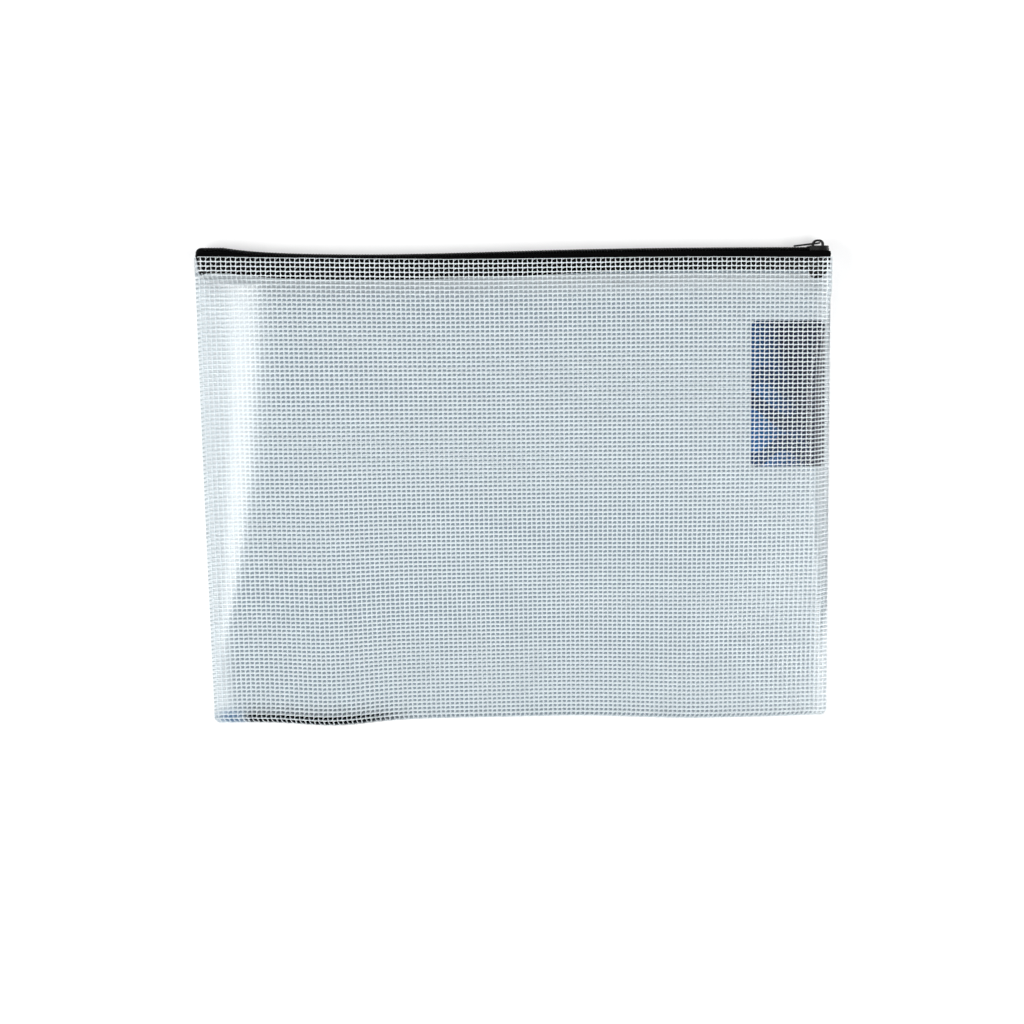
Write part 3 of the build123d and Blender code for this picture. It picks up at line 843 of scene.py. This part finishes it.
# Margins that the yarns keep at the sheets' edges
TOP_MARGIN = 0.25 * MM
END_MARGIN = 0.3 * MM
EDGE_MARGIN = 0.2 * MM

# How far the yarns go up and down over each other, and stray from the straight
WEAVE_LIFT = 0.05 * MM
WARP_STRAY = 0.035 * MM
WEFT_STRAY = 0.03 * MM

# Place of the back grid beside the front one, in meshes, and how far it wanders
BACK_ACROSS = 0.16
BACK_UP = 0.24
WANDER_ACROSS = 0.10 * MM
WANDER_UP = 0.08 * MM


def yarn_sets(s, front):
    """Paths, normals and widths of a sheet's upright, cross, binder and wall yarns."""
    draws = np.random.default_rng(7 if front else 11)
    reach_x = HALF_W - s.warp_margin
    warps = int(2 * reach_x / s.warp_pitch)
    reach_y = HALF_H - TOP_MARGIN
    wefts = round(2 * reach_y / s.weft_pitch) + 1
    warp_x = (np.arange(warps) - (warps - 1) / 2) * s.warp_pitch
    weft_y = np.linspace(-reach_y, reach_y, wefts)
    if not front:
        warp_x = warp_x + BACK_ACROSS * s.warp_pitch
        weft_y = weft_y + BACK_UP * s.weft_pitch
    turn = np.where((np.arange(warps)[:, None] + np.arange(wefts)[None]) % 2 == 0, 1, -1)

    def laid(x, y, rise):
        """Points and normals at flat places, with the back grid stretched to line up with the front."""
        if not front:
            apart = front_height(x, y, s) / (s.lined_up[2] - front_height(x, y, s))
            wave = np.sin(y / (9 * MM) + x / (60 * MM)) + np.sin(y / (21 * MM) - x / (90 * MM))
            y = y + (y - s.lined_up[1]) * apart + WANDER_UP * wave
            x = x + (x - s.lined_up[0]) * apart + WANDER_ACROSS * np.sin(y / (30 * MM))
        x = np.clip(x, -HALF_W + EDGE_MARGIN, HALF_W - EDGE_MARGIN)
        y = np.clip(y, -HALF_H + EDGE_MARGIN, HALF_H - EDGE_MARGIN)
        points = sheet_points(x, y, s, front)
        normals = sheet_normals(x, y, s, front)
        return points + normals * np.asarray(rise)[..., None], normals

    stray = draws.normal(0, WARP_STRAY, (warps, wefts))
    warp = laid(warp_x[:, None] + stray, np.broadcast_to(weft_y[None], (warps, wefts)), turn * WEAVE_LIFT)
    outer_x = np.concatenate([[-HALF_W + END_MARGIN], warp_x, [HALF_W - END_MARGIN]])
    outer_turn = np.concatenate([np.zeros((1, wefts)), -turn, np.zeros((1, wefts))]).T
    stray = draws.normal(0, WEFT_STRAY, (wefts, len(outer_x)))
    weft_x = np.broadcast_to(outer_x[None], (wefts, len(outer_x)))
    weft = laid(weft_x, weft_y[:, None] + stray, outer_turn * WEAVE_LIFT)
    slant = binders(s, warp_x, weft_y, laid)
    spread = 1 if front else s.back_spread
    press = 1 + s.weld_press * ease((outer_x - HALF_W + PALE_RIGHT) / (8 * MM))
    weft_widths = np.tile(spread * s.weft_width * press, (wefts, 1))
    weft_widths[[0, -1]] /= 2
    warp_widths = np.tile(spread * s.warp_width * press[1:-1, None], (1, wefts))
    slant_widths = np.full(slant[0].shape[:2], s.binder_width)
    sets = {"warp": (warp, warp_widths), "weft": (weft, weft_widths), "binder": (slant, slant_widths)}
    if front:
        x, y = wall_yarn_places(s)
        sets["wall"] = (laid(x, y, np.zeros(x.shape)), np.full(x.shape, s.warp_width))
    return sets


def wall_yarn_places(s):
    """Flat places of the upright yarns that close the steep walls at the zip's two ends."""
    shares = np.array([0.346, 0.5, 0.654])[:, None]
    across, up = [], []
    for side, drop in ((-1, 0), (1, TAIL_ROOM + 12 * MM)):
        y = np.linspace(HALF_H - OVERLAP - drop, HALF_H - TOP_MARGIN, 12)
        foot, top = wall_places(np.full_like(y, side * HALF_W), y, s)
        across.append(side * (foot - (foot - top) * shares))
        up.append(np.broadcast_to(y, (len(shares), len(y))))
    return np.concatenate(across), np.concatenate(up)


def binders(s, warp_x, weft_y, laid):
    """Slanting strands across the corners of every mesh, in two kinds that take turns along the rows."""
    corner_sets = {
        0: [((0.0, 0.62), (0.62, 1.0))],
        1: [((0.0, 0.42), (0.40, 0.0)), ((1.0, 0.36), (0.66, 0.0))],
    }
    starts, ends = [], []
    for kind, lines in corner_sets.items():
        x, y = np.meshgrid(warp_x[kind:-1:2], weft_y[:-1], indexing="ij")
        for (x0, y0), (x1, y1) in lines:
            starts.append(np.stack([x + x0 * s.warp_pitch, y + y0 * s.weft_pitch], -1).reshape(-1, 2))
            ends.append(np.stack([x + x1 * s.warp_pitch, y + y1 * s.weft_pitch], -1).reshape(-1, 2))
    flat = np.stack([np.concatenate(starts), np.concatenate(ends)], 1)
    return laid(flat[..., 0], flat[..., 1], np.zeros(flat.shape[:2]))


class WALLET_OT_yarns(bpy.types.Operator):
    """Builds the yarn grids of both sheets"""

    bl_idname = "wallet.yarns"
    bl_label = "Yarns"

    def execute(self, context):
        s = context.scene.wallet_sheets
        material = named_material("white_yarn", yarn_material, s)
        for side in ("front", "back"):
            for kind, ((paths, normals), widths) in yarn_sets(s, side == "front").items():
                shape = strands(paths, normals, widths, s.yarn_height, kind != "binder")
                wallet_piece(f"{side}_{kind}_yarns", shape, material, "mesh_sheet")
        return {"FINISHED"}


# The zip's dip: the length over which it starts past the parked slider, its deepest place and its spread
DIP_START = 22 * MM
DIP_MIDDLE = -90 * MM
DIP_SPREAD = 110 * MM


def end_drop(x, z):
    """How far the zip's left end drops, so that its corner is round."""
    depth = np.clip(z.end_round - (x - ZIP_LEFT), 0, z.end_round)
    return z.end_round - np.sqrt(z.end_round**2 - depth**2)


def zip_shift(x, z):
    """How far the zip dips at a place along it, beyond the slider's place at the open end."""
    start = 1 - np.exp(-np.maximum(x - PARKED_END, 0) / DIP_START)
    end = np.where(x > DIP_MIDDLE, bump(x, DIP_MIDDLE, DIP_SPREAD), 1)
    return -z.sag * start * end - end_drop(x, z)


def tape_profile(z):
    """Middle line of the front tape from beside the coil, round the bend and down, as (y, z)."""
    mid_y = EDGE_HIGH.y - z.tape_thickness / 2
    mid_z = TAPE_HIGH.z - z.tape_thickness / 2
    side = [(mid_y, height) for height in np.linspace(EDGE_LOW.z, mid_z - z.tape_bend, 5)]
    angles = np.linspace(0, math.pi / 2, 7)[1:]
    turned = z.tape_bend * (1 - np.stack([np.cos(angles), np.sin(angles)], -1))
    bend = [(mid_y - inward, mid_z - below) for inward, below in turned]
    down = [(y, mid_z) for y in np.linspace(mid_y - z.tape_bend, TAPE_LOW.y, 14)[1:]]
    return np.array(side + bend + down)


def mirrored(points):
    """Front half of the zip turned over to the back half."""
    turned = np.array(points)
    turned[..., 2] = 2 * CHAIN_Z - turned[..., 2]
    return turned


# The zip's two halves, and what turns the front half's points into each
HALVES = (("front", np.asarray), ("back", mirrored))

# Tape: rings along it, the share of its skirt's inset at the right, and the room it keeps below the film
TAPE_STEPS = 668
RIGHT_INSET = 0.3
FILM_ROOM = 0.2 * MM


class WALLET_OT_tapes(bpy.types.Operator):
    """Builds the two woven tapes"""

    bl_idname = "wallet.tapes"
    bl_label = "Tapes"

    def execute(self, context):
        s, z = context.scene.wallet_sheets, context.scene.wallet_zip
        material = named_material("black_tape", tape_material, z)
        line = tape_profile(z)
        along = unit(np.gradient(line, axis=0))
        out = np.stack([along[:, 1], -along[:, 0]], -1)
        half = z.tape_thickness / 2
        ring = np.concatenate([line + out * half, (line - out * half)[::-1]])
        reach = TAPE_HIGH.x
        along_zip = np.linspace(-reach, reach, TAPE_STEPS)[:, None]
        down = np.clip((HALF_H - ring[None, :, 0]) / OVERLAP, 0, 1)
        lift = z.skirt_lift * ease((along_zip + 10 * MM) / (70 * MM))
        y = ring[None, :, 0] + zip_shift(along_zip, z) + down * lift
        inset = z.skirt_inset * np.where(along_zip < 0, 1, RIGHT_INSET)
        x = along_zip * (1 - inset / reach * down**0.3)
        # The skirt stays under the front film, which comes down to its welds at both ends.
        film = front_height(x - side_shift(x, y, s), y - edge_shift(x, y), s)
        over = np.maximum(TAPE_HIGH.z + FILM_ROOM - film, 0)
        height = ring[None, :, 1] - np.where(down > 0, over, 0)
        faces = tube_faces(len(along_zip), len(ring))
        for side, turned in HALVES:
            shape = turned(np.stack([x, y, height], -1)), faces
            nodes = f"{side}_zip_tape", f"{side}_tape_edge"
            wallet_piece(f"{side}_woven_tape", shape, material, "zip_tape", *nodes)
        return {"FINISHED"}


# Coils: points round a loop and room at the rows' ends; filler cord: step along it and length of one twist
LOOP_STEPS = 14
COIL_MARGIN = 0.3 * MM
CORD_STEP = 0.28 * MM
CORD_TWIST = 2.4 * MM


class WALLET_OT_coils(bpy.types.Operator):
    """Builds the two coil rows, their core cords and the sewing thread"""

    bl_idname = "wallet.coils"
    bl_label = "Coils"

    def execute(self, context):
        z = context.scene.wallet_zip
        nylon = named_material("black_nylon", coil_material, z)
        thread = named_material("black_tape", tape_material, z)
        start, end = COIL_LOW.x + COIL_MARGIN, COIL_HIGH.x - COIL_MARGIN
        low, high = COIL_LOW.z + z.wire_radius, COIL_HIGH.z - z.wire_radius
        mid_y = (COIL_LOW.y + COIL_HIGH.y) / 2
        deep = (COIL_HIGH.y - COIL_LOW.y) / 2 - z.wire_radius
        turns = (end - start) / z.coil_pitch - 0.5
        t = np.arange(0, turns * LOOP_STEPS) / LOOP_STEPS
        angle = 2 * math.pi * t
        for side, turned in HALVES:
            offset = 0 if side == "front" else z.coil_pitch / 2
            x = start + offset + t * z.coil_pitch
            y = mid_y + deep * np.sin(angle) + zip_shift(x, z)
            height = (low + high) / 2 - (high - low) / 2 * np.cos(angle)
            loops = tube(turned(np.stack([x, y, height], -1)), z.wire_radius, 6)
            wallet_piece(f"{side}_coil_loops", loops, nylon, "zip_coil", f"{side}_coil")
            cord = self.cord(z, turned)
            wallet_piece(f"{side}_filler_cord", cord, thread, "core_cord", f"{side}_core_cord")
            stitching = self.stitches(z, turned, start, end)
            wallet_piece(f"{side}_coil_stitching", stitching, thread, "zip_tape")
        return {"FINISHED"}

    def cord(self, z, turned):
        """Two-ply twisted filler cord."""
        radius = (CORD_HIGH.y - CORD_LOW.y) / 2
        middle = (CORD_LOW + CORD_HIGH) / 2
        x = np.arange(CORD_LOW.x, CORD_HIGH.x, CORD_STEP)
        plies = []
        for ply in (0, math.pi):
            angle = 2 * math.pi * x / CORD_TWIST + ply
            y = middle.y + radius * 0.2 * np.sin(angle) + zip_shift(x, z)
            path = np.stack([x, y, middle.z + radius * 0.45 * np.cos(angle)], -1)
            plies.append(tube(turned(path), radius * 0.3, 6, reference=(0, 1, 0)))
        return join(plies)

    def stitches(self, z, turned, start, end):
        """Two rows of thread over the coil's spine, dipping between the loops, and one along its foot."""
        x = np.arange(start, end, z.coil_pitch)
        y = COIL_LOW.y + 0.2 * MM + zip_shift(x, z)
        foot = np.stack([x, y, np.full_like(x, COIL_HIGH.z - 0.2 * MM)], -1)
        rows = [tube(turned(foot), 2 * z.thread_radius, 6, reference=(0, 1, 0))]
        x = np.arange(start, end, z.coil_pitch / 6)
        phase = math.pi * (x - start) / z.coil_pitch
        y = COIL_HIGH.y - 0.06 * MM + 0.1 * MM * np.cos(2 * phase) + zip_shift(x, z)
        for share in (0.5, 0.8):
            height = COIL_LOW.z + share * (COIL_HIGH.z - COIL_LOW.z) + 0.12 * MM * np.sin(phase)
            path = np.stack([x, y, height], -1)
            rows.append(tube(turned(path), z.thread_radius, 5, reference=(0, 1, 0)))
        return join(rows)


def slab(outline, low, high, rounding, across=np.asarray):
    """Points and faces of a flat piece with rounded rims; across turns its own axes into the wallet's."""
    outline = np.asarray(outline)
    middle = outline.mean(axis=0)
    inward = unit(middle - outline)
    rings = []
    for share, height in ((1, low), (0.3, low + 0.3 * rounding), (0, low + rounding),
                          (0, high - rounding), (0.3, high - 0.3 * rounding), (1, high)):
        ring = outline + inward * share * rounding
        rings.append(np.concatenate([ring, np.full((len(ring), 1), height)], 1))
    return across(np.concatenate(rings)), tube_faces(len(rings), len(outline))


def rounded_outline(low, high, radii, steps=6):
    """Corners of a rectangle rounded by four radii, from the lower left one round to the left."""
    corners = (
        (low[0], low[1], math.pi),
        (high[0], low[1], 1.5 * math.pi),
        (high[0], high[1], 0),
        (low[0], high[1], 0.5 * math.pi),
    )
    points = []
    for (x, y, start), radius in zip(corners, radii):
        middle_x = x + radius if x == low[0] else x - radius
        middle_y = y + radius if y == low[1] else y - radius
        for angle in np.linspace(start, start + math.pi / 2, steps):
            points.append((middle_x + radius * math.cos(angle), middle_y + radius * math.sin(angle)))
    return points


# Fabric at the zip's ends: rims and creases, how far the tabs stay inside their solids, the tail's place
FABRIC_RIM = 0.2 * MM
FABRIC_CREASE = 0.3 * MM
TAB_LOWER = {"left": 1.9 * MM, "right": 0.8 * MM}
TAB_FLATTER = 1.5 * MM
TAIL_ASIDE = 1.4 * MM
TAIL_SHORTER = 0.9 * MM
TAIL_ROUND = 0.42

# Moulded stop: its rim, and how far it reaches down over the tape
STOP_RIM = 0.3 * MM
STOP_REACH = 0.4 * MM


class WALLET_OT_ends(bpy.types.Operator):
    """Builds the fabric tabs at the zip's ends and the tape tail, and finishes the stops"""

    bl_idname = "wallet.ends"
    bl_label = "Zip ends"

    def execute(self, context):
        z = context.scene.wallet_zip
        fabric = named_material("black_tape", tape_material, z)
        for side, lower in TAB_LOWER.items():
            tab = self.tab(f"{side}_end_tab", lower)
            wallet_piece(f"{side}_folded_tab", tab, fabric, "zip_tape", f"{side}_end_tab")
        wallet_piece("folded_tape_tail", self.tail(), fabric, "zip_tape", "tape_tail")
        nylon = named_material("black_nylon", coil_material, z)
        wallet_piece("moulded_end_stop", self.stop(z), nylon, "zip_coil", "open_end_stop")
        finish_node("closed_end_stops", named_material("black_enamel", enamel_material, z))
        return {"FINISHED"}

    def tab(self, node, lower):
        """Folded fabric across one end of the zip."""
        low, high = (Vector(corner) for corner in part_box(node))
        radii = FABRIC_RIM, FABRIC_CREASE, FABRIC_CREASE, FABRIC_RIM
        outline = rounded_outline((low.y, low.z), (high.y - lower, high.z - TAB_FLATTER), radii)
        return slab(outline, low.x, high.x, FABRIC_RIM, lambda points: points[:, [2, 0, 1]])

    def tail(self):
        """Rounded end of the tape, hanging below its skirt at the right."""
        radius = TAIL_ROUND * (TAIL_HIGH.x - TAIL_LOW.x)
        low = TAIL_LOW.x + TAIL_ASIDE, TAIL_LOW.y + TAIL_SHORTER
        high = TAIL_HIGH.x + TAIL_ASIDE, TAIL_HIGH.y
        outline = rounded_outline(low, high, (radius, radius, FABRIC_RIM, FABRIC_RIM), 9)
        return slab(outline, TAIL_LOW.z, TAIL_HIGH.z, FABRIC_RIM)

    def stop(self, z):
        """Stop moulded over both rows, following the zip's round corner."""
        low, high = (Vector(corner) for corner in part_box("open_end_stop"))
        reach = COIL_LOW.x + z.coil_pitch - ZIP_LEFT
        x = ZIP_LEFT + reach * (1 - np.cos(np.linspace(0, math.pi / 2, 16)))
        drop = end_drop(x, z)
        bottom = np.stack([x, low.y - STOP_REACH - drop], -1)
        top = np.stack([x, high.y - drop], -1)
        return slab(np.concatenate([bottom, top[::-1]]), low.z, high.z, STOP_RIM)


def finish_node(node, material):
    """Gives a solid its finish."""
    mesh = frame["nodes"][node].data
    mesh.materials.clear()
    mesh.materials.append(material)


class WALLET_OT_slider(bpy.types.Operator):
    """Finishes the slider, its bridge and the pull"""

    bl_idname = "wallet.slider"
    bl_label = "Slider"

    def execute(self, context):
        material = named_material("black_enamel", enamel_material, context.scene.wallet_zip)
        for node in ("slider_body", "slider_bridge", "pull_tab"):
            finish_node(node, material)
        return {"FINISHED"}


class WALLET_OT_card(bpy.types.Operator):
    """Builds the printed card"""

    bl_idname = "wallet.card"
    bl_label = "Card"

    def execute(self, context):
        c = context.scene.wallet_card
        material = named_material("printed_card", card_material, c)
        columns, rows = 22, 42
        y, x = np.meshgrid(np.linspace(0, 1, rows), np.linspace(0, 1, columns), indexing="ij")
        wide, tall = CARD_HIGH.x + c.tuck - CARD_LOW.x, CARD_HIGH.y - CARD_LOW.y
        edge = np.minimum(y, 1 - y) * tall
        depth = np.clip(c.corner - edge, 0, c.corner)
        cut = c.corner - np.sqrt(c.corner**2 - depth**2)
        flat_x = CARD_LOW.x + wide / 2 + (x - 0.5) * (wide - 2 * cut)
        flat_y = CARD_LOW.y + y * tall
        lift = c.curl * (1 - x) ** 3 * (0.4 + 0.6 * y)
        shift = side_shift(flat_x, flat_y, context.scene.wallet_sheets)
        top = np.stack([flat_x + shift, flat_y, CARD_HIGH.z + lift], -1)
        piece = mesh_object("printed_insert", top, grid_faces(rows, columns), material)
        solid = piece.modifiers.new("thickness", "SOLIDIFY")
        solid.thickness = CARD_HIGH.z - CARD_LOW.z - 0.02 * MM
        solid.offset = -1
        attach(piece, "wallet", "insert_card", "insert_card")
        return {"FINISHED"}


# Floor: half its side in metres, and its height just below the wallet
FLOOR_HALF = 30.0
FLOOR_HEIGHT = -0.1 * MM

# Even light: its colour, its least level straight above and how fast it falls from the horizon
SKY_COLOR = (0.97, 0.985, 1.0, 1.0)
SKY_LEAST = 0.03
SKY_FALL = 1.6

# Lamps: place, width, length and share of the lamp power
LAMPS = (
    ("left_lamp", (-1.10, -0.28, 0.80), 1.1, 0.38, 1.8),
    ("right_lamp", (0.66, -0.18, 0.85), 0.9, 0.36, 0.8),
    ("zip_lamp", (0.0, 0.80, 0.95), 1.2, 0.4, 0.75),
)


class WALLET_OT_stage(bpy.types.Operator):
    """Sets up the floor, lamps, even light and camera"""

    bl_idname = "wallet.stage"
    bl_label = "Stage"

    def execute(self, context):
        scene = context.scene
        g = scene.wallet_stage
        scene.view_settings.view_transform = "Standard"
        signs = ((-1, -1), (1, -1), (1, 1), (-1, 1))
        corners = [(x * FLOOR_HALF, y * FLOOR_HALF, FLOOR_HEIGHT) for x, y in signs]
        pale = named_material("pale_floor", floor_material, g)
        floor = mesh_object("floor", corners, [[0, 1, 2, 3]], pale)
        scene.world = self.even_light(g)
        for name, place, wide, long, share in LAMPS:
            light = bpy.data.lights.new(name, "AREA")
            light.shape = "RECTANGLE"
            light.size = wide
            light.size_y = long
            light.energy = g.lamp_power * share
            lamp = bpy.data.objects.new(name, light)
            lamp.location = place
            lamp.rotation_euler = Vector(place).to_track_quat("Z", "Y").to_euler()
            context.collection.objects.link(lamp)
        data = bpy.data.cameras.new("view")
        data.sensor_width = 36
        data.lens = g.lens
        data.clip_start = 0.01
        camera = bpy.data.objects.new("view", data)
        camera.location = g.camera_place
        camera.rotation_euler = g.camera_turn
        context.collection.objects.link(camera)
        scene.camera = camera
        return {"FINISHED"}

    def even_light(self, g):
        """World that is pale at the horizon and dim overhead."""
        world = bpy.data.worlds.new("even_light")
        world.use_nodes = True
        tree = world.node_tree
        up = axes(tree, "Generated")["Z"]
        down = put(tree, "ShaderNodeMapRange", inputs={0: up, 1: 1.0, 2: 0.0}).outputs[0]
        fall = math_node(tree, "POWER", down, SKY_FALL)
        level = math_node(tree, "MULTIPLY_ADD", fall, g.sky - SKY_LEAST, SKY_LEAST)
        background = tree.nodes["Background"].inputs
        background[0].default_value = SKY_COLOR
        tree.links.new(level, background[1])
        return world


OPERATORS = (
    WALLET_OT_films,
    WALLET_OT_yarns,
    WALLET_OT_tapes,
    WALLET_OT_coils,
    WALLET_OT_ends,
    WALLET_OT_slider,
    WALLET_OT_card,
    WALLET_OT_stage,
)


class WALLET_PT_panel(bpy.types.Panel):
    """Lists the wallet's settings and pieces"""

    bl_label = "Mesh Document Wallet"
    bl_idname = "WALLET_PT_panel"
    bl_space_type = "VIEW_3D"
    bl_region_type = "UI"
    bl_category = "Wallet"

    def draw(self, context):
        for name in SETTINGS:
            settings = getattr(context.scene, name)
            for prop in settings.bl_rna.properties.keys():
                if prop not in ("rna_type", "name"):
                    self.layout.prop(settings, prop)
        for operator in OPERATORS:
            self.layout.operator(operator.bl_idname)


SETTINGS = {
    "wallet_sheets": SheetSettings,
    "wallet_zip": ZipSettings,
    "wallet_card": CardSettings,
    "wallet_stage": StageSettings,
}


def register():
    """Registers the settings, operators and panel."""
    for name, group in SETTINGS.items():
        bpy.utils.register_class(group)
        setattr(bpy.types.Scene, name, PointerProperty(type=group))
    for operator in OPERATORS:
        bpy.utils.register_class(operator)
    bpy.utils.register_class(WALLET_PT_panel)


def unregister():
    """Takes the settings, operators and panel away again."""
    bpy.utils.unregister_class(WALLET_PT_panel)
    for operator in reversed(OPERATORS):
        bpy.utils.unregister_class(operator)
    for name, group in reversed(SETTINGS.items()):
        delattr(bpy.types.Scene, name)
        bpy.utils.unregister_class(group)


def main():
    """Builds every piece."""
    register()
    for operator in OPERATORS:
        group, name = operator.bl_idname.split(".")
        getattr(getattr(bpy.ops, group), name)()


if __name__ == "__main__":
    main()
